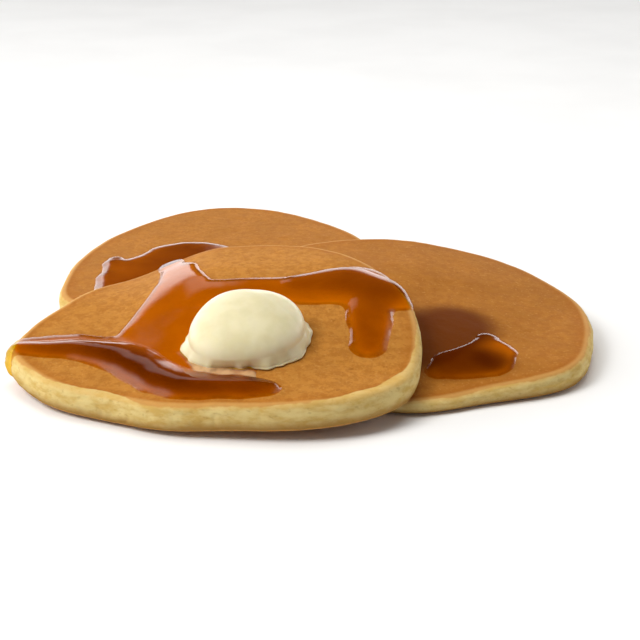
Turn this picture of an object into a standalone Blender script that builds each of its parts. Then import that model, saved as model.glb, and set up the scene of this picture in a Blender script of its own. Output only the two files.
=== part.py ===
"""Three griddle pancakes lying over one another, with a scoop of butter on the front one.

Metres, +Z up, +Y towards the back. The back pancake lies flat. The right one lies over its
right side, and bends down to the surface beyond it. The front one lies over both, and bends
down in front until its edge is on the surface. The origin is on the surface, under the
middle of the stack's bounding box.
"""

import bpy
import numpy as np

# What each piece keeps between itself and the piece under it.
CLEARANCE = 0.0004

# Each round piece in plan. A lobe is (count round the rim, share of the radius, degrees of its
# first high point). A bump is (degrees, height, degrees of half-width). A taper is (degrees,
# share of the thickness lost at the rim, degrees of half-width).
BACK = dict(
    centre=(-0.0326, 0.0379),
    radius=0.0625,
    lobes=((2, 0.080, 82), (3, 0.045, -21)),
    bumps=((-137, 0.0065, 15), (129, -0.0030, 18), (90, 0.0020, 20), (56, -0.0014, 14)),
    thickness=0.0090,
    tapers=(),
)
RIGHT = dict(
    centre=(0.0323, -0.0263),
    radius=0.0630,
    lobes=((2, 0.014, -60), (4, 0.008, 44)),
    bumps=(
        (-92, 0.0020, 16),
        (-69, -0.0030, 18),
        (-40, 0.0026, 14),
        (14, 0.0010, 14),
        (80, -0.0028, 18),
    ),
    thickness=0.0085,
    tapers=((-95, 0.55, 50),),
)
FRONT = dict(
    centre=(-0.0270, -0.0577),
    radius=0.0588,
    lobes=((2, 0.076, -2), (3, 0.040, -52)),
    bumps=(
        (-131, -0.0042, 20),
        (-85, -0.0030, 22),
        (-35, 0.0040, 20),
        (64, 0.0012, 16),
        (95, -0.0012, 20),
        (160, -0.0026, 11),
        (187, 0.0028, 10),
    ),
    thickness=0.0085,
    tapers=(),
)
BUTTER_DOME = dict(
    centre=(-0.0197, -0.0743),
    radius=0.0168,
    lobes=((2, 0.08, 10), (4, 0.012, 40)),
    bumps=(),
    thickness=0.0120,
    tapers=(),
)
# The thin edge that has melted out from under the dome.
BUTTER_SKIRT = BUTTER_DOME | dict(
    radius=0.0179,
    bumps=((184, 0.0020, 11), (14, 0.0015, 20), (-62, 0.0024, 12), (-28, 0.0014, 14)),
    thickness=0.0010,
)

# How far beyond what it lies on a pancake takes to bend down to the surface, and the share of
# that way taken up by the bend at either end of the straight slope.
RIGHT_RUN = 0.080
FRONT_RUN_OVER_BACK = 0.080
FRONT_RUN_OVER_RIGHT = 0.060
BEND = 0.25
# The higher, the more closely the front pancake follows the step between the other two.
FRONT_FOLLOWS = 5

# A pancake's rim: the widest line's height as a share of the thickness, and how far in from
# it the flat top and the flat underside begin.
WAIST = 0.50
TOP_SHOULDER = 0.0032
BOTTOM_SHOULDER = 0.0022
# The butter's skirt is rounded this far in from its edge. The higher the power, the squarer
# the dome's shoulders: 2 makes the dome half an ellipse.
SKIRT_SHOULDER = 0.0005
DOME_POWER = 2.2

SEGMENTS = 64
PANCAKE_RINGS = 6
RIM_STEPS = 4
DOME_RINGS = 9


def nearness(angle, direction, width):
    """1 in that direction in degrees, falling off to both sides of it."""
    turn = np.angle(np.exp(1j * (angle - np.radians(direction))))
    return np.exp(-((turn / np.radians(width)) ** 2))


def radius_at(piece, angle):
    """The radius of the piece's outline in each direction, in radians."""
    radius = np.full_like(angle, piece["radius"])
    for count, share, first in piece["lobes"]:
        radius += piece["radius"] * share * np.cos(count * (angle - np.radians(first)))
    for direction, height, width in piece["bumps"]:
        radius += height * nearness(angle, direction, width)
    return radius


def polar(piece, x, y):
    """(distance, direction) from the piece's centre."""
    across, along = x - piece["centre"][0], y - piece["centre"][1]
    return np.hypot(across, along), np.arctan2(along, across)


def thickness_at(piece, x, y):
    """The piece's thickness, which is less towards a tapered part of its edge."""
    distance, angle = polar(piece, x, y)
    share = np.clip(distance / radius_at(piece, angle), 0, 1)
    thickness = np.full_like(distance, piece["thickness"])
    for direction, loss, width in piece["tapers"]:
        thickness *= 1 - loss * nearness(angle, direction, width) * share**3
    return thickness


def fall(piece, x, y, run):
    """1 over the piece, falling to 0 at the distance run outside its outline: a straight
    slope with a bend at either end."""
    distance, angle = polar(piece, x, y)
    part = np.clip((distance - radius_at(piece, angle)) / run, 0, 1)
    bend_size = 2 * BEND * (1 - BEND)
    straight = 1 - (part - BEND / 2) / (1 - BEND)
    after_first_bend = np.where(part > 1 - BEND, (1 - part) ** 2 / bend_size, straight)
    return np.where(part < BEND, 1 - part**2 / bend_size, after_first_bend)


def clear_of(piece, underside, x, y):
    """The height that clears the top of a piece with this underside."""
    return underside(x, y) + thickness_at(piece, x, y) + CLEARANCE


def under_back(x, y):
    """The back pancake lies flat on the surface."""
    return np.zeros_like(x)


def under_right(x, y):
    """The right pancake's underside lies on the back one, then bends down to the surface."""
    return clear_of(BACK, under_back, x, y) * fall(BACK, x, y, RIGHT_RUN)


def under_front(x, y):
    """The front pancake's underside lies on both others, and bends down in front of them."""
    on_back = clear_of(BACK, under_back, x, y) * fall(BACK, x, y, FRONT_RUN_OVER_BACK)
    on_right = clear_of(RIGHT, under_right, x, y) * fall(RIGHT, x, y, FRONT_RUN_OVER_RIGHT)
    return (on_back**FRONT_FOLLOWS + on_right**FRONT_FOLLOWS) ** (1 / FRONT_FOLLOWS)


def under_butter(x, y):
    """The butter lies on the front pancake."""
    return clear_of(FRONT, under_front, x, y)


def pancake_rings(pancake):
    """The rings from the middle of the underside to the middle of the top, each as (piece,
    share of the radius, distance in from that, share of the thickness)."""
    flat = np.linspace(1 / PANCAKE_RINGS, 1, PANCAKE_RINGS)
    quarter = np.linspace(0, np.pi / 2, RIM_STEPS + 1)[1:]
    rings = [(pancake, share, BOTTOM_SHOULDER * share, 0.0) for share in flat]
    for turn in quarter:
        inset = BOTTOM_SHOULDER * (1 - np.sin(turn))
        rings.append((pancake, 1.0, inset, WAIST * (1 - np.cos(turn))))
    for turn in quarter:
        inset = TOP_SHOULDER * (1 - np.cos(turn))
        rings.append((pancake, 1.0, inset, WAIST + (1 - WAIST) * np.sin(turn)))
    for share in flat[-2::-1]:
        rings.append((pancake, share, TOP_SHOULDER * share, 1.0))
    return rings


def butter_rings():
    """The same for the butter: a flat underside, a thin skirt, and a dome above it."""
    rings = [(BUTTER_SKIRT, share, 0.0, 0.0) for share in (1 / 3, 2 / 3)]
    rings.append((BUTTER_SKIRT, 1.0, SKIRT_SHOULDER, 0.0))
    rings.append((BUTTER_SKIRT, 1.0, 0.0, 0.5))
    rings.append((BUTTER_SKIRT, 1.0, SKIRT_SHOULDER, 1.0))
    foot = BUTTER_SKIRT["thickness"] / BUTTER_DOME["thickness"]
    for turn in np.linspace(0, np.pi / 2, DOME_RINGS + 1)[:-1]:
        share = np.cos(turn) ** (2 / DOME_POWER)
        rise = np.sin(turn) ** (2 / DOME_POWER)
        rings.append((BUTTER_DOME, share, 0.0, foot + (1 - foot) * rise))
    return rings


def add_round(name, rings, underside, material):
    """Joins the rings into one closed solid, lying at its underside's height."""
    angle = np.linspace(0, 2 * np.pi, SEGMENTS, endpoint=False)

    def ring_points(piece, share, inset, height_share):
        distance = share * radius_at(piece, angle) - inset
        x = piece["centre"][0] + distance * np.cos(angle)
        y = piece["centre"][1] + distance * np.sin(angle)
        z = underside(x, y) + height_share * thickness_at(piece, x, y)
        return np.column_stack([x, y, z])

    bottom_middle = ring_points(rings[0][0], 0.0, 0.0, 0.0)[:1]
    top_middle = ring_points(rings[-1][0], 0.0, 0.0, 1.0)[:1]
    points = [ring_points(*ring) for ring in rings] + [bottom_middle, top_middle]
    bottom = SEGMENTS * len(rings)
    top = bottom + 1

    faces = []
    for near in range(SEGMENTS):
        far = (near + 1) % SEGMENTS
        faces.append((bottom, far, near))
        for low in range(0, bottom - SEGMENTS, SEGMENTS):
            high = low + SEGMENTS
            faces.append((low + near, low + far, high + far, high + near))
        faces.append((high + near, high + far, top))

    mesh = bpy.data.meshes.new(name)
    mesh.from_pydata(np.concatenate(points).tolist(), [], faces)
    mesh.materials.append(material)
    mesh.shade_smooth()
    solid = bpy.data.objects.new(name, mesh)
    bpy.context.scene.collection.objects.link(solid)
    return solid


def add_material(name, colour, roughness):
    """A plain food material: nothing here is metallic."""
    material = bpy.data.materials.new(name)
    material.use_nodes = True
    shader = material.node_tree.nodes["Principled BSDF"]
    shader.inputs["Base Color"].default_value = (*colour, 1)
    shader.inputs["Roughness"].default_value = roughness
    shader.inputs["Metallic"].default_value = 0.0
    return material


def put_origin_under_middle(solids):
    """Moves the pieces together, so that the origin is under the middle of their box."""
    corners = np.array([corner for solid in solids for corner in solid.bound_box])
    middle = (corners.min(axis=0) + corners.max(axis=0)) / 2
    for solid in solids:
        solid.location = (-middle[0], -middle[1], 0)


def main():
    for left_over in list(bpy.data.objects):
        bpy.data.objects.remove(left_over)
    crust = add_material("pancake_crust", (0.62, 0.34, 0.11), 0.6)
    butter = add_material("butter", (0.93, 0.88, 0.62), 0.4)
    put_origin_under_middle(
        [
            add_round("pancake_back", pancake_rings(BACK), under_back, crust),
            add_round("pancake_right", pancake_rings(RIGHT), under_right, crust),
            add_round("pancake_front", pancake_rings(FRONT), under_front, crust),
            add_round("butter", butter_rings(), under_butter, butter),
        ]
    )


main()
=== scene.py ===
import itertools

import bpy
import numpy as np
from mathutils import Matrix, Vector


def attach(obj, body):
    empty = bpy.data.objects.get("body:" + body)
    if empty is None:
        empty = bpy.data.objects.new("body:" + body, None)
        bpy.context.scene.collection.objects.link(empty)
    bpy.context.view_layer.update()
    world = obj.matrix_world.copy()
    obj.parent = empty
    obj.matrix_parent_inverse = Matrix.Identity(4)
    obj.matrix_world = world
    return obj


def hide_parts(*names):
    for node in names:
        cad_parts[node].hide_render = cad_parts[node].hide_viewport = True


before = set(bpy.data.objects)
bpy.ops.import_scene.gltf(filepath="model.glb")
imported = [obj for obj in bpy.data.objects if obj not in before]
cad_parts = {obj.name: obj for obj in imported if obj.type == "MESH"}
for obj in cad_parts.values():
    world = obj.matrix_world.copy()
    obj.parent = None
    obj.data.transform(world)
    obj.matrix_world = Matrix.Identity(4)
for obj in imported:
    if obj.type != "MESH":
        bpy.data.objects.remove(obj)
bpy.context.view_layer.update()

# A millimetre, in metres.
MM = 0.001

# ---------------------------------------------------------------------------------------
# The stack's sizes, in metres, the same as the solids' but for the butter's melted edge,
# which is thinner, and narrower in front. Each round piece in plan: a lobe is (count round
# the rim, share of the radius, degrees of its first high point), a bump is (degrees, height,
# degrees of half-width), and a taper is (degrees, share of the thickness lost at the rim,
# degrees of half-width).
# ---------------------------------------------------------------------------------------

# What each piece keeps between itself and the piece under it.
CLEARANCE = 0.0004

BACK = dict(
    centre=(-0.0326, 0.0379),
    radius=0.0625,
    lobes=((2, 0.080, 82), (3, 0.045, -21)),
    bumps=((-137, 0.0065, 15), (129, -0.0030, 18), (90, 0.0020, 20), (56, -0.0014, 14)),
    thickness=0.0090,
    tapers=(),
)
RIGHT = dict(
    centre=(0.0323, -0.0263),
    radius=0.0630,
    lobes=((2, 0.014, -60), (4, 0.008, 44)),
    bumps=(
        (-92, 0.0020, 16),
        (-69, -0.0030, 18),
        (-40, 0.0026, 14),
        (14, 0.0010, 14),
        (80, -0.0028, 18),
    ),
    thickness=0.0085,
    tapers=((-95, 0.55, 50),),
)
FRONT = dict(
    centre=(-0.0270, -0.0577),
    radius=0.0588,
    lobes=((2, 0.076, -2), (3, 0.040, -52)),
    bumps=(
        (-131, -0.0042, 20),
        (-85, -0.0030, 22),
        (-35, 0.0040, 20),
        (64, 0.0012, 16),
        (95, -0.0012, 20),
        (160, -0.0026, 11),
        (187, 0.0028, 10),
    ),
    thickness=0.0085,
    tapers=(),
)
BUTTER_DOME = dict(
    centre=(-0.0197, -0.0743),
    radius=0.0168,
    lobes=((2, 0.08, 10), (4, 0.012, 40)),
    bumps=(),
    thickness=0.0120,
)
BUTTER_SKIRT = BUTTER_DOME | dict(
    radius=0.0179,
    bumps=(
        (184, 0.0020, 11),
        (14, 0.0015, 20),
        (-100, -0.0016, 35),
        (-62, 0.0008, 12),
        (-28, 0.0010, 14),
    ),
)

# How far beyond what it lies on a pancake takes to bend down to the surface, and the share of
# that way taken up by the bend at either end of the straight slope.
RIGHT_RUN = 0.080
FRONT_RUN_OVER_BACK = 0.080
FRONT_RUN_OVER_RIGHT = 0.060
BEND = 0.25
# The higher, the more closely the front pancake follows the step between the other two.
FRONT_FOLLOWS = 5

# A pancake's rim: the widest line's height as a share of the thickness, how far in from it
# the flat top and the flat underside begin, and the power of the section's curve, which is
# squarer than an ellipse's.
WAIST = 0.50
TOP_SHOULDER = 0.0032
BOTTOM_SHOULDER = 0.0022
RIM_POWER = 2.5
# The butter: half the height of its melted edge, the height up to which the dome flares out
# to that edge, and the powers of the curves of the flare and of the dome above it.
MELTED_EDGE = 0.0003
DOME_WAIST = 0.0034
FLARE_POWER = 1.1
DOME_POWER = 2.2

# How finely the pieces are meshed. The rings stand closer near a pancake's rim: the power
# says how much.
PANCAKE_SEGMENTS = 576
TOP_RINGS = 72
RIM_RINGS = 31
BOTTOM_RINGS = 28
RING_POWER = 0.8
BUTTER_SEGMENTS = 240
EDGE_ROWS = 9
FLARE_ROWS = 18
DOME_ROWS = 56
SYRUP_CELL = 0.00045

# ---------------------------------------------------------------------------------------
# Where the syrup is. A stroke is points of (x, y, half-width), in millimetres. One that goes
# past the edge of a pancake runs on down its rim.
# ---------------------------------------------------------------------------------------

# The stream in front, from the left tip to below the butter.
STREAM = (
    (-102, -64, 2.7),
    (-93.5, -63.9, 3.8),
    (-88, -64, 4.8),
    (-81.5, -64.5, 6.0),
    (-74, -65.2, 6.8),
    (-66, -68.6, 7.3),
    (-59.5, -73, 7.2),
    (-52, -81, 7.2),
    (-45, -89.5, 6.6),
    (-38, -94.5, 6.2),
    (-32, -96.6, 6.0),
    (-21, -98, 5.2),
    (-12.6, -99, 4.2),
)
# Its thick part, along its near side.
RIDGE = (
    (-102, -65.3, 1.7),
    (-93.5, -66.1, 2.1),
    (-88, -66.9, 2.5),
    (-81.5, -68, 3.2),
    (-74.3, -68.6, 4.2),
    (-66.8, -71, 5.2),
    (-60.5, -74.2, 5.9),
    (-52.8, -81.7, 6.3),
    (-45.6, -90.1, 6.0),
    (-38.4, -95.1, 5.7),
    (-32.2, -97.2, 5.5),
    (-21.1, -98.5, 4.8),
    (-12.7, -99.4, 3.9),
)
FRONT_FILM = (
    STREAM,
    # on the left of the butter, and up to the finger that reaches the back edge
    ((-47, -72, 12), (-48, -61, 12), (-45.5, -50, 10.5), (-43.5, -38, 9), (-45, -24, 5.6)),
    ((-45, -24, 5.6), (-48.5, -13, 3.8), (-51, -8.5, 2.8)),
    # round the butter's left and front
    ((-36, -62, 10), (-34, -80, 10), (-24, -88, 8)),
    # behind the butter, and on to the right edge
    ((-40, -48, 9), (-22, -48, 9), (0, -43.5, 9), (8, -40.7, 10.8), (16, -38.5, 11.7)),
    ((16, -38.5, 11.7), (24, -44.5, 9.6), (29, -49, 4)),
    # the tongue on the right
    ((18, -48, 8), (18.3, -62, 6.5), (18.3, -69.5, 5.0), (17.4, -75.6, 5.7)),
)
FRONT_THICK = (
    # behind the butter on the right, and down the tongue
    ((-4, -42, 6), (12, -38, 9), (22, -43, 8.5), (19, -56, 6.5), (18.3, -68, 5.4)),
    ((18.3, -67, 4.6), (17.4, -75.6, 5.4)),
    # the drip on the left tip
    ((-104, -64.5, 2.6), (-98, -64.8, 2.2)),
)
BACK_FILM = (
    ((-73.5, -6, 4.2), (-73.5, 14, 4.4), (-74, 30, 3.9), (-74.5, 35.5, 2.9)),
    ((-62, 8, 12.5), (-59, 27, 12), (-50.5, 41, 12.5), (-45, 43, 14)),
    ((-45, 43, 14), (-36.5, 46.5, 5), (-32, 48, 1)),
)
RIGHT_FILM = (
    ((39, -73, 3.8), (46, -68.5, 7.6), (54, -65, 9.4), (58, -58, 7), (57.6, -50, 4)),
)
# The crust beside the pool on the right pancake that is soaked through, and that also has the
# front pancake's shadow painted on it next to that pancake's edge.
RIGHT_SOAK_AND_SHADOW = (((36, -55, 18.5), (48, -42, 15)), ((43, -71, 7), (54, -65, 11)))
# Butter that has run into the syrup in front of the scoop: a pale streak that is also a painted
# reflection of the scoop in the syrup.
BUTTER_RUNS_AND_REFLECTION = (
    (
        (-36.5, -83.5, 0.9),
        (-33, -87.6, 1.5),
        (-26.4, -90.6, 1.8),
        (-18, -92.2, 1.4),
        (-11.5, -91, 0.9),
    ),
)

# The syrup's layers, each of them (depth, edge width, lean, strokes) in millimetres. A layer
# rises to its depth from its outline inwards, the more gently the wider its edge. The lean is
# from 0 for an even section to nearly 1 for one whose crest is on the right of its way. Each
# pancake has a thin film with a steep edge and a thicker one on it, and the front one more.
FRONT_SYRUP = (
    (0.6, 0.9, 0.0, FRONT_FILM),
    (1.0, 4.0, 0.0, FRONT_FILM),
    (4.2, 5.2, 0.5, (RIDGE,)),
    (1.0, 3.0, 0.0, FRONT_THICK),
)
BACK_SYRUP = ((0.6, 0.9, 0.0, BACK_FILM), (0.5, 4.0, 0.0, BACK_FILM))
RIGHT_SYRUP = ((0.5, 0.9, 0.0, RIGHT_FILM), (0.4, 4.0, 0.0, RIGHT_FILM))

# How softly strokes blend with each other, and a leaning one with itself where it turns. How
# many points a leaning one gets for each of its own, so that it turns smoothly.
STREAMS_JOIN = 0.0015
RIDGE_JOIN = 0.0006
CURVE_STEPS = 4
# The largest edge width, in millimetres, at which a layer's outline wanders in full.
UNEVEN_EDGE = 1.2
# How deep the syrup's upper side sinks into the crust outside the outline, how much deeper
# its lower side is, how far the shell goes on outside the outline, and how far the film goes
# in under a piece that covers it.
SYRUP_SINKS = 0.0007
THINNEST_SHELL = 0.0001
SHELL_GOES_ON = 0.0015
FILM_UNDER_COVER = 0.0025
# The share of the top's unevenness that the film levels out, and how far inside its outline
# it does so in full.
FILM_LEVELS = 0.85
LEVEL_FROM = 0.002
# The syrup darkens with this power of its depth, and by this share less on a rim, where light
# gets into a drip from all round. How strong its colour is on each pancake.
DARKENING_POWER = 1.25
RIM_LIGHTENING = 0.85
BACK_STRENGTH, RIGHT_STRENGTH, FRONT_STRENGTH = 1.6, 0.6, 0.62
# Its red, green and blue: the share that the thinnest film lets through, and how fast the
# rest is taken out with the depth.
SYRUP_TINT = ((0.90, 0.33), (0.70, 0.42), (0.20, 2.0))
# How far the grid that the shell is cut from goes beyond the strokes.
GRID_BORDER = 0.003
# How far inside the syrup's outline the crust begins to be wet, and is wet in full. The same for
# the soaked crust with the shadow painted on it, and for the butter in the syrup that also paints
# a reflection, each inside its own outline.
WET_FROM, WET_TO = 0.0005, 0.0025
SOAK_AND_SHADOW_FROM, SOAK_AND_SHADOW_TO = -0.003, 0.006
MILK_AND_REFLECTION_FROM, MILK_AND_REFLECTION_TO = -0.0008, 0.0010

# Where the front pancake's pale rim is broad: (degrees, how much broader, degrees of
# half-width).
FRONT_PALE = ((-37, 0.0034, 20), (222, 0.0024, 16))

# How brown each crust is, from 0 for a golden one to 1 for a dark one. The back and right crusts
# are set darker partly as painted shade.
BACK_BROWNING_AND_SHADE, RIGHT_BROWNING_AND_SHADE, FRONT_BROWNING_AND_SHADE = 0.6, 0.8, 0.0

# Seeds of the noise. A pancake's crust and its syrup have the same one, to which those of the
# outlines are added.
BACK_SEED, RIGHT_SEED, FRONT_SEED = 11, 12, 13
OUTLINE_SEED, SOAK_AND_SHADOW_SEED = 20, 30
EDGE_SEED, LUMP_SEED, MILK_AND_REFLECTION_SEED = 71, 72, 91

# ---------------------------------------------------------------------------------------
# The studio.
# ---------------------------------------------------------------------------------------

# Strengths of what surrounds the stack, and the softboxes' powers in watts.
WALL_LIGHT = 2.4
WINDOW_LIGHT = 0.8
LEFT_LIGHT = 2.5
RIGHT_LIGHT = 1.0
ROOM_LIGHT = 0.02
KEY_POWER = 9.5
TOP_POWER = 9

# The camera looks from the front at this point on the floor, from so many degrees above it.
CAMERA_TARGET = (0.0028, -0.0066, 0.0)
CAMERA_DISTANCE = 0.534
CAMERA_ELEVATION = 20
CAMERA_LENS = 85
CAMERA_SENSOR = 36

# The side of the table top, and how far it is below the stack.
FLOOR_SIZE = 12.0
FLOOR_DROP = 0.0005

# ---------------------------------------------------------------------------------------
# Shape: outlines, and how each piece lies on the ones under it.
# ---------------------------------------------------------------------------------------


def nearness(angle, direction, width):
    """1 in that direction in degrees, falling off to both sides of it."""
    turn = np.angle(np.exp(1j * (angle - np.radians(direction))))
    return np.exp(-((turn / np.radians(width)) ** 2))


def radius_at(piece, angle):
    """The radius of the piece's outline in each direction, in radians."""
    radius = np.full_like(angle, piece["radius"])
    for count, share, first in piece["lobes"]:
        radius += piece["radius"] * share * np.cos(count * (angle - np.radians(first)))
    for direction, height, width in piece["bumps"]:
        radius += height * nearness(angle, direction, width)
    return radius


def polar(piece, x, y):
    """(distance, direction) from the piece's centre."""
    across, along = x - piece["centre"][0], y - piece["centre"][1]
    return np.hypot(across, along), np.arctan2(along, across)


def inset_at(piece, x, y):
    """How far inside the piece's outline a point is."""
    distance, angle = polar(piece, x, y)
    return radius_at(piece, angle) - distance


def thickness_at(piece, x, y):
    """The piece's thickness, which is less towards a tapered part of its edge."""
    distance, angle = polar(piece, x, y)
    share = np.clip(distance / radius_at(piece, angle), 0, 1)
    thickness = np.full_like(distance, piece["thickness"])
    for direction, loss, width in piece["tapers"]:
        thickness *= 1 - loss * nearness(angle, direction, width) * share**3
    return thickness


def fall(piece, x, y, run):
    """1 over the piece, falling to 0 at the distance run outside its outline: a straight
    slope with a bend at either end."""
    part = np.clip(-inset_at(piece, x, y) / run, 0, 1)
    bend_size = 2 * BEND * (1 - BEND)
    straight = 1 - (part - BEND / 2) / (1 - BEND)
    after_first_bend = np.where(part > 1 - BEND, (1 - part) ** 2 / bend_size, straight)
    return np.where(part < BEND, 1 - part**2 / bend_size, after_first_bend)


def clear_of(piece, underside, x, y):
    """The height that clears the top of a piece with this underside."""
    return underside(x, y) + thickness_at(piece, x, y) + CLEARANCE


def under_back(x, y):
    """The back pancake lies flat on the surface."""
    return np.zeros_like(x)


def under_right(x, y):
    """The right pancake's underside lies on the back one, then bends down to the surface."""
    return clear_of(BACK, under_back, x, y) * fall(BACK, x, y, RIGHT_RUN)


def under_front(x, y):
    """The front pancake's underside lies on both others, and bends down in front of them."""
    on_back = clear_of(BACK, under_back, x, y) * fall(BACK, x, y, FRONT_RUN_OVER_BACK)
    on_right = clear_of(RIGHT, under_right, x, y) * fall(RIGHT, x, y, FRONT_RUN_OVER_RIGHT)
    return (on_back**FRONT_FOLLOWS + on_right**FRONT_FOLLOWS) ** (1 / FRONT_FOLLOWS)


def under_butter(x, y):
    """The butter lies on the front pancake."""
    return clear_of(FRONT, under_front, x, y)


# ---------------------------------------------------------------------------------------
# Skin: the pancakes' section and relief.
# ---------------------------------------------------------------------------------------


def noise(x, y, z, size, seed):
    """Smooth noise between about -1 and 1, with lumps of this size."""
    count = 48
    lattice = np.random.default_rng(seed).uniform(-1, 1, (count, count, count))
    cells = np.stack(np.broadcast_arrays(x, y, z), axis=-1) / size
    low = np.floor(cells).astype(int)
    part = cells - low
    blend = part * part * (3 - 2 * part)
    total = np.zeros(cells.shape[:-1])
    for corner in itertools.product((0, 1), repeat=3):
        weight = np.prod(np.where(corner, blend, 1 - blend), axis=-1)
        index = (low + corner) % count
        total += weight * lattice[index[..., 0], index[..., 1], index[..., 2]]
    return total


def top_relief(x, y, seed):
    """The unevenness of a griddled top: soft swells, shallow dimples and grain."""
    swells = 0.22 * MM * noise(x, y, 0.0, 0.021, seed)
    dimples = 0.08 * MM * noise(x, y, 0.0, 0.0055, seed + 1)
    grain = 0.03 * MM * noise(x, y, 0.0, 0.0021, seed + 2)
    return swells + dimples + grain


def rim_relief(x, y, z, rise, seed):
    """The unevenness of the pale rim: bulges, creases that run round it, and pores."""
    bulges = 0.30 * MM * noise(x, y, z, 0.011, seed + 3)
    waves = noise(x, y, 3.5 * z, 0.0062, seed + 4)
    creases = 0.20 * MM * waves - 0.30 * MM * np.clip(1 - 6 * np.abs(waves), 0, 1)
    pores = -0.60 * MM * np.clip(noise(x, y, 1.6 * z, 0.0023, seed + 5) - 0.40, 0, 1)
    ragged = 0.35 * MM * noise(x, y, z, 0.0034, seed + 6)
    return bulges + creases + pores + ragged * np.exp(-(((rise - 0.08) / 0.12) ** 2))


def rim_at(turn):
    """The rim's section, where turn goes from -90 degrees at its foot to 90 at its top: the
    distance in from the outline, the share of the thickness, and the parts of the skin's
    direction that are outward and upward."""
    width = np.where(turn < 0, BOTTOM_SHOULDER, TOP_SHOULDER)
    across = np.abs(np.cos(turn)) ** (2 / RIM_POWER)
    up = np.sign(turn) * np.abs(np.sin(turn)) ** (2 / RIM_POWER)
    rise = WAIST + np.where(turn < 0, WAIST, 1 - WAIST) * up
    return width * (1 - across), rise, np.abs(np.cos(turn)), np.sin(turn)


def skin(pancake, underside, seed, angle, distance, rise, outward, upward):
    """Points on a pancake's skin, with its relief."""
    x = pancake["centre"][0] + distance * np.cos(angle)
    y = pancake["centre"][1] + distance * np.sin(angle)
    z = underside(x, y) + rise * thickness_at(pancake, x, y)
    swell = outward**2 * rim_relief(x, y, z, rise, seed)
    lift = np.clip(upward, 0, 1) ** 2 * top_relief(x, y, seed)
    return np.stack([x + swell * np.cos(angle), y + swell * np.sin(angle), z + lift], axis=-1)


def rolled_out(pancake, x, y):
    """Where a point of a flat sheet comes to lie when the sheet is laid on a pancake's top
    and folded down over its rim: its angle, distance, rise, and direction outward and up."""
    turns = np.radians(np.linspace(90, -90, 181))
    inset, rise, _, _ = rim_at(turns)
    steps = np.hypot(np.diff(inset), np.diff(rise) * pancake["thickness"])
    down = np.concatenate([[0], np.cumsum(steps)])

    distance, angle = polar(pancake, x, y)
    edge = radius_at(pancake, angle)
    turn = np.interp(TOP_SHOULDER - (edge - distance), down, turns)
    inset, rise, outward, upward = rim_at(turn)
    distance = np.where(edge - distance > TOP_SHOULDER, distance, edge - inset)
    return angle, distance, rise, outward, upward


# ---------------------------------------------------------------------------------------
# Syrup: where it lies, and how deep.
# ---------------------------------------------------------------------------------------


def curved(stroke):
    """The stroke's points with more between them, on a smooth curve through all of them."""
    points = np.array(stroke)
    ends = 2 * points[[0, -1]] - points[[1, -2]]
    points = np.concatenate([ends[:1], points, ends[1:]])
    curve = [points[1]]
    for before, start, end, after in zip(points, points[1:], points[2:], points[3:]):
        for part in np.arange(1, CURVE_STEPS + 1) / CURVE_STEPS:
            straight = start + (end - start) * part
            bend_start, bend_end = 2 * start - before - end, 2 * end - start - after
            share = part * (1 - part) / 2
            curve.append(straight + share * (bend_start * (1 - part) + bend_end * part))
    return curve


def reach_of(strokes, x, y, lean=0.0, join=STREAMS_JOIN):
    """How far inside the strokes' joint outline a point is, flattening off towards their
    middle lines, or towards a crest that lies on the right of them."""
    total = 0.0
    for stroke in strokes:
        for start, end in itertools.pairwise(np.array(stroke) * MM):
            run = end - start
            along = ((x - start[0]) * run[0] + (y - start[1]) * run[1]) / (run[:2] @ run[:2])
            middle_x, middle_y, half_width = (
                first + np.clip(along, 0, 1) * change for first, change in zip(start, run)
            )
            distance = np.hypot(x - middle_x, y - middle_y)
            side = (run[0] * (y - middle_y) - run[1] * (x - middle_x)) / np.hypot(*run[:2])
            within = (half_width**2 - distance**2) / (2 * half_width)
            within *= 1 - lean * np.clip(side / half_width, -1, 1)
            total = total + np.exp(within / join)
    return join * np.log(np.maximum(total, 1e-12))


def wandering(within, x, y, seed, share=1.0):
    """An outline's distance field, made uneven, in full or by a share."""
    broad = 0.5 * MM * noise(x, y, 0.0, 0.0085, seed)
    small = 0.15 * MM * noise(x, y, 0.0, 0.0034, seed + 1)
    return within + share * (broad + small)


def film_reach(layer, x, y, seed):
    """How far inside a layer's outline a point is. The outline wanders less, the wider the
    layer's edge is."""
    _, edge, lean, strokes = layer
    if lean:
        reach = reach_of([curved(stroke) for stroke in strokes], x, y, lean, RIDGE_JOIN)
    else:
        reach = reach_of(strokes, x, y)
    return wandering(reach, x, y, seed + OUTLINE_SEED, min(1.0, UNEVEN_EDGE / edge))


def ease(value, low, high):
    """0 below low and 1 above high, with a smooth change between."""
    part = np.clip((value - low) / (high - low), 0, 1)
    return part * part * (3 - 2 * part)


# ---------------------------------------------------------------------------------------
# Pieces.
# ---------------------------------------------------------------------------------------


def new_piece(name, points, faces, material):
    """A smooth-shaded object that rides with the stack."""
    mesh = bpy.data.meshes.new(name)
    mesh.from_pydata(points.tolist(), [], faces)
    mesh.materials.append(material)
    mesh.shade_smooth()
    piece = bpy.data.objects.new(name, mesh)
    bpy.context.scene.collection.objects.link(piece)
    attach(piece, "root")
    return piece


def keep_on_points(piece, name, values):
    """Stores a number for each point, for the piece's material to read."""
    attribute = piece.data.attributes.new(name, "FLOAT", "POINT")
    attribute.data.foreach_set("value", np.asarray(values, np.float32))


def ring_faces(rings, segments):
    """The faces of a closed shape made of rings of points, then a bottom and a top point."""
    bottom, top = rings * segments, rings * segments + 1
    faces = []
    for near in range(segments):
        far = (near + 1) % segments
        faces.append((bottom, far, near))
        for low in range(0, bottom - segments, segments):
            high = low + segments
            faces.append((low + near, low + far, high + far, high + near))
        faces.append((high + near, high + far, top))
    return faces


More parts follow.
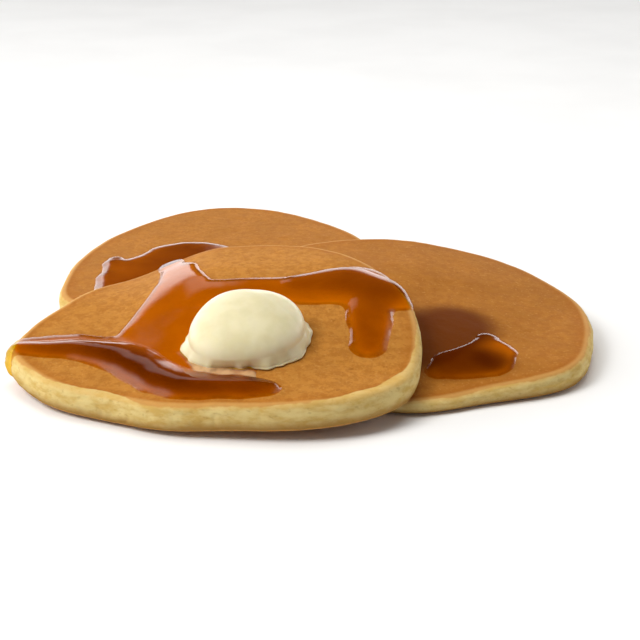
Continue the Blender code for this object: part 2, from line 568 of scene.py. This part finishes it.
def pale_breadth(pancake, pale, x, y):
    """How much further in than elsewhere the pale rim reaches."""
    _, angle = polar(pancake, x, y)
    breadths = [breadth * nearness(angle, way, width) for way, breadth, width in pale]
    return sum(breadths, np.zeros_like(x))


def pancake_rows(edge):
    """A pancake's section from the underside to the top, where edge is its outline's radius.
    Each row is (distance, share of the thickness, and the skin's direction outward and up)."""
    rows = []
    for share in (np.arange(1, BOTTOM_RINGS) / BOTTOM_RINGS) ** RING_POWER:
        rows.append((share * (edge - BOTTOM_SHOULDER), 0.0, 0.0, -1.0))
    for turn in np.linspace(-np.pi / 2, np.pi / 2, RIM_RINGS):
        inset, rise, outward, upward = rim_at(turn)
        rows.append((edge - inset, rise, outward, upward))
    for share in (np.arange(TOP_RINGS - 1, 0, -1) / TOP_RINGS) ** RING_POWER:
        rows.append((share * (edge - TOP_SHOULDER), 1.0, 0.0, 1.0))
    return rows


def add_pancake(name, pancake, underside, seed, syrup, material, soak_and_shadow=(), pale=()):
    """A pancake with its uneven top, its porous rim and its underside. The crust is wet under the
    syrup, and darker where it is soaked and where a shadow is painted on it."""
    angle = np.linspace(0, 2 * np.pi, PANCAKE_SEGMENTS, endpoint=False)
    rows = pancake_rows(radius_at(pancake, angle))
    points = np.concatenate([skin(pancake, underside, seed, angle, *row) for row in rows])
    ends = [
        [*pancake["centre"], points[:PANCAKE_SEGMENTS, 2].mean()],
        [*pancake["centre"], points[-PANCAKE_SEGMENTS:, 2].mean()],
    ]
    points = np.concatenate([points, ends])
    faces = ring_faces(len(rows), PANCAKE_SEGMENTS)
    piece = new_piece(name + "_look", points, faces, material)
    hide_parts(name)

    x, y, _ = points.T
    rises = np.repeat([float(row[1]) for row in rows], PANCAKE_SEGMENTS)
    keep_on_points(piece, "rise", np.concatenate([rises, [0.0, 1.0]]))
    keep_on_points(piece, "inward", inset_at(pancake, x, y))
    keep_on_points(piece, "pale", pale_breadth(pancake, pale, x, y))
    keep_on_points(piece, "wet", ease(film_reach(syrup[0], x, y, seed), WET_FROM, WET_TO))
    # Soaked crust, with the front pancake's shadow painted on it as well: painted shadow.
    soaked_and_shaded = wandering(reach_of(soak_and_shadow, x, y), x, y, seed + SOAK_AND_SHADOW_SEED)
    keep_on_points(piece, "soak_and_shadow", ease(soaked_and_shaded, SOAK_AND_SHADOW_FROM, SOAK_AND_SHADOW_TO))


def butter_rows():
    """The butter's section: the underside, the melted edge, the flare from that up to the
    dome, and the dome. Each row is (share of the melted edge's radius, share of the dome's
    radius, distance in from them, height)."""
    rows = [(share, 0.0, 0.0, 0.0) for share in (0.3, 0.6, 0.8, 0.93)]
    for turn in np.linspace(-np.pi / 2, np.pi / 2, EDGE_ROWS):
        rows.append((1.0, 0.0, MELTED_EDGE * (1 - np.cos(turn)), MELTED_EDGE * (1 + np.sin(turn))))
    for part in np.linspace(0, 1, FLARE_ROWS)[1:-1]:
        height = 2 * MELTED_EDGE + (DOME_WAIST - 2 * MELTED_EDGE) * part**FLARE_POWER
        rows.append((1 - part, part, MELTED_EDGE * (1 - part), height))
    for turn in np.linspace(0, np.pi / 2, DOME_ROWS)[:-1]:
        across, up = np.cos(turn) ** (2 / DOME_POWER), np.sin(turn) ** (2 / DOME_POWER)
        rows.append((0.0, across, 0.0, DOME_WAIST + (BUTTER_DOME["thickness"] - DOME_WAIST) * up))
    return rows


def add_butter(material):
    """A scoop of butter with a melted edge."""
    angle = np.linspace(0, 2 * np.pi, BUTTER_SEGMENTS, endpoint=False)
    edge, dome = radius_at(BUTTER_SKIRT, angle), radius_at(BUTTER_DOME, angle)
    centre = BUTTER_DOME["centre"]
    rows, rises = [], []
    for of_edge, of_dome, inset, height in butter_rows():
        distance = of_edge * edge + of_dome * dome - inset
        x = centre[0] + distance * np.cos(angle)
        y = centre[1] + distance * np.sin(angle)
        z = under_butter(x, y) + height
        ragged = 0.7 * MM * noise(x, y, 0.0, 0.0026, EDGE_SEED)
        lumps = 0.15 * MM * noise(x, y, z, 0.009, LUMP_SEED)
        lumps += 0.05 * MM * noise(x, y, z, 0.0028, LUMP_SEED + 1)
        swell = of_edge * ragged + (1 - of_edge) * lumps
        rows.append(np.stack([x + swell * np.cos(angle), y + swell * np.sin(angle), z], axis=-1))
        rises += [height / BUTTER_DOME["thickness"]] * BUTTER_SEGMENTS
    ends = [[*centre, rows[0][:, 2].mean()], [*centre, rows[-1][:, 2].mean()]]
    points = np.concatenate(rows + [np.array(ends)])
    faces = ring_faces(len(rows), BUTTER_SEGMENTS)
    piece = new_piece("butter_look", points, faces, material)
    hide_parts("butter")
    keep_on_points(piece, "rise", rises + [0.0, 1.0])


def side_faces(upper, count):
    """The faces that close a shell round its open edges: its lower side's points come after
    the count points of its upper side."""
    edges = np.concatenate([upper[:, [k, (k + 1) % 4]] for k in range(4)])
    forward = edges[:, 0] * count + edges[:, 1]
    backward = edges[:, 1] * count + edges[:, 0]
    start, end = edges[~np.isin(forward, backward)].T
    return np.stack([end, start, start + count, end + count], axis=-1)


def grid_over(layers):
    """Points over all that the layers' strokes cover: their x and y, in rows."""
    outline = np.array([point for *_, strokes in layers for stroke in strokes for point in stroke])
    middles, half_widths = outline[:, :2] * MM, outline[:, 2:3] * MM
    low = (middles - half_widths).min(axis=0) - GRID_BORDER
    high = (middles + half_widths).max(axis=0) + GRID_BORDER
    columns, rows = np.ceil((high - low) / SYRUP_CELL).astype(int)
    x, y = np.arange(columns) * SYRUP_CELL, np.arange(rows) * SYRUP_CELL
    return np.meshgrid(low[0] + x, low[1] + y)


def film_of(layers, x, y, seed, covers):
    """The film's depth, less than 0 outside its outline, and how far inside that outline a
    point is. The first layer sets the outline."""
    limit = np.min([FILM_UNDER_COVER - inset_at(cover, x, y) for cover in covers], axis=0)
    reaches = [np.minimum(film_reach(layer, x, y, seed), limit) for layer in layers]
    depth, edge = layers[0][:2]
    film = depth * np.minimum(reaches[0], 0) / edge
    for (depth, edge, *_), within in zip(layers, reaches):
        film = film + depth * MM * (1 - np.exp(-np.maximum(within, 0) / (edge * MM)))
    return film, reaches[0]


def shell_faces(used):
    """The faces of a closed shell over the used points of a grid, and which points they are:
    first those of the upper side, then the same ones of the lower side."""
    rows, columns = used.shape
    cell = used[:-1, :-1] & used[1:, :-1] & used[:-1, 1:] & used[1:, 1:]
    grid = np.arange(rows * columns).reshape(rows, columns)
    corners = np.stack([grid[:-1, :-1], grid[:-1, 1:], grid[1:, 1:], grid[1:, :-1]], axis=-1)[cell]
    kept = np.unique(corners)
    upper = np.searchsorted(kept, corners)
    lower = upper[:, ::-1] + len(kept)
    sides = side_faces(upper, len(kept))
    return upper.tolist() + lower.tolist() + sides.tolist(), kept


def add_syrup(name, pancake, underside, seed, layers, material, strength, covers):
    """A film of syrup on a pancake's skin: a closed shell whose lower side is in the crust.
    The strength says how fast it darkens with its depth. It goes in under its covers."""
    x, y = grid_over(layers)
    film, inside = film_of(layers, x, y, seed, covers)
    angle, distance, rise, outward, upward = rolled_out(pancake, x, y)
    crust = skin(pancake, underside, seed, angle, distance, rise, outward, upward)
    out = np.stack([outward * np.cos(angle), outward * np.sin(angle), upward], axis=-1)
    film = film - FILM_LEVELS * top_relief(x, y, seed) * ease(inside, 0, LEVEL_FROM)
    film = np.maximum(film, -SYRUP_SINKS)
    top = crust + film[..., None] * out
    under = crust - (SYRUP_SINKS + THINNEST_SHELL) * out

    faces, kept = shell_faces(inside > -SHELL_GOES_ON)
    points = np.concatenate([top.reshape(-1, 3)[kept], under.reshape(-1, 3)[kept]])
    piece = new_piece(name, points, faces, material)
    lightening = 1 - RIM_LIGHTENING * outward
    depth = strength * (np.clip(film, 0, None) / MM) ** DARKENING_POWER * lightening
    # The pale streak in front of the scoop: butter in the syrup, and a painted reflection of the
    # scoop.
    milk_and_reflection = wandering(reach_of(BUTTER_RUNS_AND_REFLECTION, x, y), x, y, MILK_AND_REFLECTION_SEED)
    for attribute, values in (("depth", depth), ("milk_and_reflection", ease(milk_and_reflection, MILK_AND_REFLECTION_FROM, MILK_AND_REFLECTION_TO))):
        values = values.reshape(-1)[kept]
        keep_on_points(piece, attribute, np.concatenate([values, values]))


# ---------------------------------------------------------------------------------------
# Materials.
# ---------------------------------------------------------------------------------------


def srgb(red, green, blue):
    """A colour as a screen shows it, made into a shader's colour."""
    values = np.array([red, green, blue]) / 255
    linear = np.where(values <= 0.04045, values / 12.92, ((values + 0.055) / 1.055) ** 2.4)
    return (*linear.tolist(), 1.0)


class Nodes:
    """A node tree, and short ways to add its nodes."""

    def __init__(self, tree):
        self.tree = tree

    def add(self, kind, inputs=(), **settings):
        """A node with its settings, and values or links for its inputs."""
        node = self.tree.nodes.new("ShaderNode" + kind)
        for key, value in settings.items():
            setattr(node, key, value)
        for key, value in dict(inputs).items():
            self.put(node.inputs[key], value)
        return node

    def put(self, socket, value):
        """Gives a socket a value, or a link to where its value comes from."""
        if isinstance(value, bpy.types.NodeSocket):
            self.tree.links.new(value, socket)
        else:
            socket.default_value = value

    def maths(self, operation, *values):
        """What a Math node makes of one value or two."""
        node = self.add("Math", operation=operation)
        for socket, value in zip(node.inputs, values):
            self.put(socket, value)
        return node.outputs[0]

    def product(self, first, *others):
        """All the values multiplied together."""
        for other in others:
            first = self.maths("MULTIPLY", first, other)
        return first

    def ramp(self, value, low, high, start=0.0, end=1.0):
        """From start to end as the value goes from low to high, smoothly."""
        node = self.add("MapRange", interpolation_type="SMOOTHSTEP")
        for socket, given in zip(node.inputs, (value, low, high, start, end)):
            self.put(socket, given)
        return node.outputs["Result"]


class Look(Nodes):
    """A material, whose noise stays where it is on the piece."""

    def __init__(self, name):
        self.material = bpy.data.materials.new(name)
        self.material.use_nodes = True
        super().__init__(self.material.node_tree)
        self.shader = self.tree.nodes["Principled BSDF"]
        self.place = self.add("TexCoord").outputs["Object"]

    def set(self, **values):
        """Values or links for the main shader's inputs, with _ for a space in their names."""
        for key, value in values.items():
            self.put(self.shader.inputs[key.replace("_", " ")], value)

    def number(self, name):
        """A number that the piece's points hold."""
        return self.add("Attribute", attribute_name=name).outputs["Fac"]

    def cloud(self, size, detail=3.0, roughness=0.55, squeeze=1.0):
        """Noise from 0 to 1 in lumps of this size, squeezed in height."""
        place = self.add("Mapping", {"Vector": self.place, "Scale": (1, 1, squeeze)}).outputs[0]
        inputs = {"Vector": place, "Scale": 1 / size, "Detail": detail, "Roughness": roughness}
        return self.add("TexNoise", inputs).outputs["Fac"]

    def bump(self, height, distance, strength=1.0, under=None):
        """A direction of the skin that follows this height, on top of another bump or none."""
        node = self.add("Bump", {"Height": height, "Distance": distance, "Strength": strength})
        if under is not None:
            self.put(node.inputs["Normal"], under)
        return node.outputs[0]

    def mix(self, share, first, second):
        """A colour between two others."""
        node = self.add("Mix", data_type="RGBA")
        for index, value in ((0, share), (6, first), (7, second)):
            self.put(node.inputs[index], value)
        return node.outputs[2]

    def blend(self, share, first, second):
        """A shader between two others."""
        node = self.add("MixShader")
        for socket, value in zip(node.inputs, (share, first, second)):
            self.put(socket, value)
        return node.outputs[0]


def crumb_share(look, inward):
    """How much of the surface is pale crumb, from 0 to 1, and the point's height with the
    wander of the border between crumb and crust."""
    rise = look.number("rise")
    border = look.ramp(look.cloud(0.012, 3, 0.6), 0.3, 0.7, -0.028, 0.028)
    ragged = look.ramp(look.cloud(0.0025, 3, 0.5), 0.2, 0.8, -0.02, 0.02)
    height = look.maths("ADD", look.maths("ADD", rise, border), ragged)

    above_foot = look.ramp(height, 0.03, 0.13)
    below_crust = look.ramp(height, 0.90, 0.965, 1.0, 0.0)
    below_top = look.ramp(rise, 0.985, 0.999, 1.0, 0.0)
    on_rim = look.product(above_foot, below_crust, below_top)

    shift = look.ramp(border, -0.05, 0.05, -0.0008, 0.0008)
    beyond = look.maths("SUBTRACT", look.maths("ADD", inward, shift), look.number("pale"))
    over_edge = look.product(look.ramp(beyond, 0.0009, 0.0015, 1.0, 0.0), above_foot)
    return look.maths("MAXIMUM", on_rim, over_edge), height


def crust_colour(look, inward, browning_and_shade):
    """Mottled brown, with light specks and dark pores, darker with the browning, which is partly
    painted shade. It is redder towards the edge, paler right at it, which is also a painted
    highlight along the rim, bright amber where it is wet, and dark where it is soaked and where a
    shadow is painted."""
    golden, dark = np.array(srgb(182, 122, 52)), np.array(srgb(160, 100, 34))
    # The browning darkens the back and right crusts partly as painted shade.
    browned_and_shaded = (dark - golden) * browning_and_shade
    patches = look.ramp(look.cloud(0.016, 4, 0.6), 0.35, 0.68)
    crust = look.mix(patches, tuple(golden + browned_and_shaded), tuple(golden * 1.12 + browned_and_shaded))
    mottle = look.ramp(look.cloud(0.0030, 5, 0.75), 0.42, 0.60, 0.0, 0.48)
    crust = look.mix(mottle, crust, srgb(152, 90, 30))
    specks = look.ramp(look.cloud(0.0010, 2, 0.5), 0.58, 0.72, 0.0, 0.40)
    crust = look.mix(specks, crust, srgb(198, 144, 76))
    pores = look.ramp(look.cloud(0.0013, 2, 0.5), 0.66, 0.76, 0.0, 0.45)
    crust = look.mix(pores, crust, srgb(126, 70, 20))
    redder = look.ramp(inward, 0.0015, 0.0080, 0.5, 0.0)
    crust = look.mix(redder, crust, srgb(158, 88, 24))
    # Paler right at the edge: a light crust edge, and also a painted highlight along the rim.
    paler = look.ramp(inward, 0.0020, 0.0038, 0.5, 0.0)
    crust = look.mix(paler, crust, srgb(222, 176, 104))
    wet = look.product(look.number("wet"), 0.9)
    crust = look.mix(wet, crust, srgb(238, 158, 66))
    # Dark brown where the crust is soaked, which is also the front pancake's painted shadow.
    return look.mix(look.number("soak_and_shadow"), crust, srgb(104, 50, 6))


def crumb_colour(look, height):
    """Pale cream with darker pits, browner up at the crust and down at the foot."""
    patches = look.ramp(look.cloud(0.006, 4, 0.6, 2.5), 0.35, 0.70)
    crumb = look.mix(patches, srgb(220, 196, 132), srgb(201, 166, 93))
    pits = look.ramp(look.cloud(0.0019, 3, 0.6, 1.8), 0.58, 0.72, 0.0, 0.4)
    crumb = look.mix(pits, crumb, srgb(172, 136, 74))
    near_crust = look.ramp(height, 0.80, 0.94, 0.0, 0.45)
    crumb = look.mix(near_crust, crumb, srgb(206, 160, 84))
    near_foot = look.ramp(height, 0.08, 0.55, 0.9, 0.0)
    return look.mix(near_foot, crumb, srgb(152, 110, 52))


def pancake_material(name, browning_and_shade):
    """Browned crust above and below, darker in part as painted shade, and pale porous crumb round
    the rim.
    """
    look = Look(name)
    inward = look.number("inward")
    crumb, height = crumb_share(look, inward)
    crust = crust_colour(look, inward, browning_and_shade)
    grain = look.bump(look.cloud(0.0016, 4, 0.65), 0.00018, 0.5)
    grain = look.bump(look.cloud(0.0006, 2, 0.5), 0.00008, 0.45, grain)
    look.set(
        Base_Color=look.mix(crumb, crust, crumb_colour(look, height)),
        Roughness=look.ramp(crumb, 0.0, 1.0, 0.62, 0.85),
        Normal=grain,
        Specular_IOR_Level=0.04,
        Subsurface_Weight=0.12,
        Subsurface_Radius=(2.5, 1.2, 0.5),
        Subsurface_Scale=0.001,
    )
    return look.material


def butter_material():
    """Soft pale butter, darker and clearer where it has melted."""
    look = Look("butter_cream")
    patches = look.ramp(look.cloud(0.006, 3, 0.5), 0.35, 0.7)
    cream = look.mix(patches, srgb(232, 222, 184), srgb(224, 213, 170))
    melted = look.ramp(look.number("rise"), 0.04, 0.13, 0.8, 0.0)
    look.set(
        Base_Color=look.mix(melted, cream, srgb(214, 194, 150)),
        Roughness=look.ramp(look.cloud(0.004, 2, 0.5), 0.3, 0.7, 0.28, 0.42),
        Normal=look.bump(look.cloud(0.0024, 3, 0.5), 0.00012, 0.35),
        Specular_IOR_Level=0.5,
        Subsurface_Weight=0.45,
        Subsurface_Radius=(3.0, 2.2, 1.0),
        Subsurface_Scale=0.001,
    )
    return look.material


def syrup_tint(look):
    """What the syrup lets through: the deeper it lies, the less, and of blue the least."""
    uneven = look.ramp(look.cloud(0.007, 3, 0.5), 0.3, 0.7, 0.9, 1.1)
    thick = look.product(look.number("depth"), uneven)
    channels = []
    for thinnest, absorbed in SYRUP_TINT:
        through = look.maths("EXPONENT", look.product(thick, -absorbed))
        channels.append(look.product(through, thinnest))
    return look.add("CombineColor", dict(zip(("Red", "Green", "Blue"), channels))).outputs[0]


def syrup_material():
    """Clear amber syrup with butter in it, whose pale streak is also a painted reflection of the
    scoop. Only its outer side mirrors what is round it.
    """
    look = Look("syrup_amber")
    clear = look.add("BsdfTransparent", {"Color": syrup_tint(look)}).outputs[0]
    # Pale buttery colour, which is also a painted reflection of the scoop.
    buttery_and_reflected = look.add("BsdfDiffuse", {"Color": srgb(226, 184, 134)}).outputs[0]
    streaks = look.ramp(look.cloud(0.0045, 2, 0.5), 0.35, 0.65, 0.35, 0.75)
    inside = look.blend(look.product(look.number("milk_and_reflection"), streaks), clear, buttery_and_reflected)

    ripples = look.bump(look.cloud(0.005, 2, 0.5), 0.00010, 0.4)
    gloss = look.add("BsdfGlossy", {"Roughness": 0.06, "Normal": ripples}).outputs[0]
    mirror = look.add("Fresnel", {"IOR": 1.45, "Normal": ripples}).outputs[0]
    outer = look.maths("SUBTRACT", 1.0, look.add("NewGeometry").outputs["Backfacing"])
    shader = look.blend(look.product(mirror, outer), inside, gloss)
    look.tree.nodes.remove(look.shader)
    look.put(look.tree.nodes["Material Output"].inputs["Surface"], shader)
    return look.material


def floor_material():
    """A plain pale table top."""
    look = Look("pale_floor")
    tone = look.ramp(look.cloud(0.08, 3, 0.5), 0.3, 0.7)
    look.set(
        Base_Color=look.mix(tone, srgb(250, 249, 247), srgb(246, 245, 243)),
        Roughness=0.6,
        Specular_IOR_Level=0.2,
    )
    return look.material


# ---------------------------------------------------------------------------------------
# The stack.
# ---------------------------------------------------------------------------------------


def add_pancakes():
    """The three pancakes, each with a crust of its own."""
    back_look = pancake_material("crust_back", BACK_BROWNING_AND_SHADE)
    right_look = pancake_material("crust_right", RIGHT_BROWNING_AND_SHADE)
    front_look = pancake_material("crust_front", FRONT_BROWNING_AND_SHADE)
    add_pancake("pancake_back", BACK, under_back, BACK_SEED, BACK_SYRUP, back_look)
    add_pancake(
        "pancake_right", RIGHT, under_right, RIGHT_SEED, RIGHT_SYRUP, right_look, soak_and_shadow=RIGHT_SOAK_AND_SHADOW
    )
    add_pancake(
        "pancake_front", FRONT, under_front, FRONT_SEED, FRONT_SYRUP, front_look, pale=FRONT_PALE
    )


def pour_syrup():
    """A film on each pancake, which goes in under what lies on it."""
    look = syrup_material()
    add_syrup(
        "syrup_back",
        BACK,
        under_back,
        BACK_SEED,
        BACK_SYRUP,
        look,
        strength=BACK_STRENGTH,
        covers=(FRONT, RIGHT),
    )
    add_syrup(
        "syrup_right",
        RIGHT,
        under_right,
        RIGHT_SEED,
        RIGHT_SYRUP,
        look,
        strength=RIGHT_STRENGTH,
        covers=(FRONT,),
    )
    add_syrup(
        "syrup_front",
        FRONT,
        under_front,
        FRONT_SEED,
        FRONT_SYRUP,
        look,
        strength=FRONT_STRENGTH,
        covers=(BUTTER_SKIRT,),
    )


# ---------------------------------------------------------------------------------------
# Studio.
# ---------------------------------------------------------------------------------------


def add_floor():
    """A table top just below the stack."""
    bpy.ops.mesh.primitive_plane_add(size=FLOOR_SIZE, location=(0, 0, -FLOOR_DROP))
    floor = bpy.context.object
    floor.name = "floor"
    floor.data.materials.append(floor_material())


def add_softbox(name, azimuth, elevation, distance, size, power):
    """A square light that faces the stack from this direction, in degrees, with azimuth 0
    in front and 90 on the right. The syrup doesn't mirror it."""
    light = bpy.data.lights.new(name, "AREA")
    light.shape = "SQUARE"
    light.size = size
    light.energy = power
    softbox = bpy.data.objects.new(name, light)
    turn, lift = np.radians(azimuth), np.radians(elevation)
    softbox.location = distance * Vector(
        (np.sin(turn) * np.cos(lift), -np.cos(turn) * np.cos(lift), np.sin(lift))
    )
    softbox.rotation_euler = softbox.location.to_track_quat("Z", "Y").to_euler()
    softbox.visible_glossy = False
    bpy.context.scene.collection.objects.link(softbox)


def wall_light(room, right, behind, up):
    """A wall behind the stack, low in the middle and higher on the left and the right, with a
    dim window above it."""
    low_wall = room.ramp(up, 0.13, 0.23, WALL_LIGHT, 0.0)
    right_wall = room.product(
        room.ramp(up, 0.30, 0.42, WALL_LIGHT, 0.0),
        room.ramp(right, -0.075, -0.02),
    )
    left_wall = room.product(
        room.ramp(up, 0.38, 0.50, WALL_LIGHT, 0.0),
        room.ramp(right, -0.20, -0.165, 1.0, 0.0),
    )
    window = room.product(
        room.ramp(up, 0.43, 0.50, 0.0, WINDOW_LIGHT),
        room.ramp(up, 0.60, 0.67, 1.0, 0.0),
        room.ramp(right, -0.37, -0.28),
        room.ramp(right, -0.11, -0.03, 1.0, 0.0),
    )
    wall = low_wall
    for part in (right_wall, left_wall, window):
        wall = room.maths("MAXIMUM", wall, part)
    return room.product(wall, room.ramp(behind, 0.2, 0.7))


def side_light(room, right, up):
    """Wide soft lights at both sides of a dark room, dimmer near the floor and overhead."""
    left_light = room.ramp(right, -0.95, -0.60, LEFT_LIGHT, ROOM_LIGHT)
    right_light = room.ramp(right, 0.35, 0.85, 0.0, RIGHT_LIGHT)
    return room.product(
        room.maths("ADD", left_light, right_light),
        room.ramp(up, 0.0, 0.35, 0.3, 1.0),
        room.ramp(up, 0.45, 0.70, 1.0, 0.1),
    )


def add_surroundings():
    """What lights the stack from all round, and shows in the syrup."""
    world = bpy.data.worlds.new("studio")
    bpy.context.scene.world = world
    world.use_nodes = True
    room = Nodes(world.node_tree)
    place = room.add("TexCoord").outputs["Generated"]
    right, behind, up = room.add("SeparateXYZ", {"Vector": place}).outputs
    light = room.maths("ADD", wall_light(room, right, behind, up), side_light(room, right, up))
    background = room.tree.nodes["Background"]
    background.inputs["Color"].default_value = (1, 1, 1, 1)
    room.put(background.inputs["Strength"], light)


def add_camera():
    """In front of the stack, and a little above it."""
    data = bpy.data.cameras.new("camera")
    data.lens = CAMERA_LENS
    data.sensor_width = CAMERA_SENSOR
    camera = bpy.data.objects.new("camera", data)
    bpy.context.scene.collection.objects.link(camera)
    lift = np.radians(CAMERA_ELEVATION)
    away = Vector((0.0, -np.cos(lift), np.sin(lift)))
    camera.location = Vector(CAMERA_TARGET) + CAMERA_DISTANCE * away
    camera.rotation_euler = away.to_track_quat("Z", "Y").to_euler()
    bpy.context.scene.camera = camera


add_pancakes()
add_butter(butter_material())
pour_syrup()
add_floor()
add_softbox("key", azimuth=-65, elevation=48, distance=1.2, size=0.5, power=KEY_POWER)
add_softbox("top", azimuth=180, elevation=80, distance=1.3, size=1.0, power=TOP_POWER)
add_surroundings()
add_camera()
bpy.context.scene.view_settings.view_transform = "Standard"
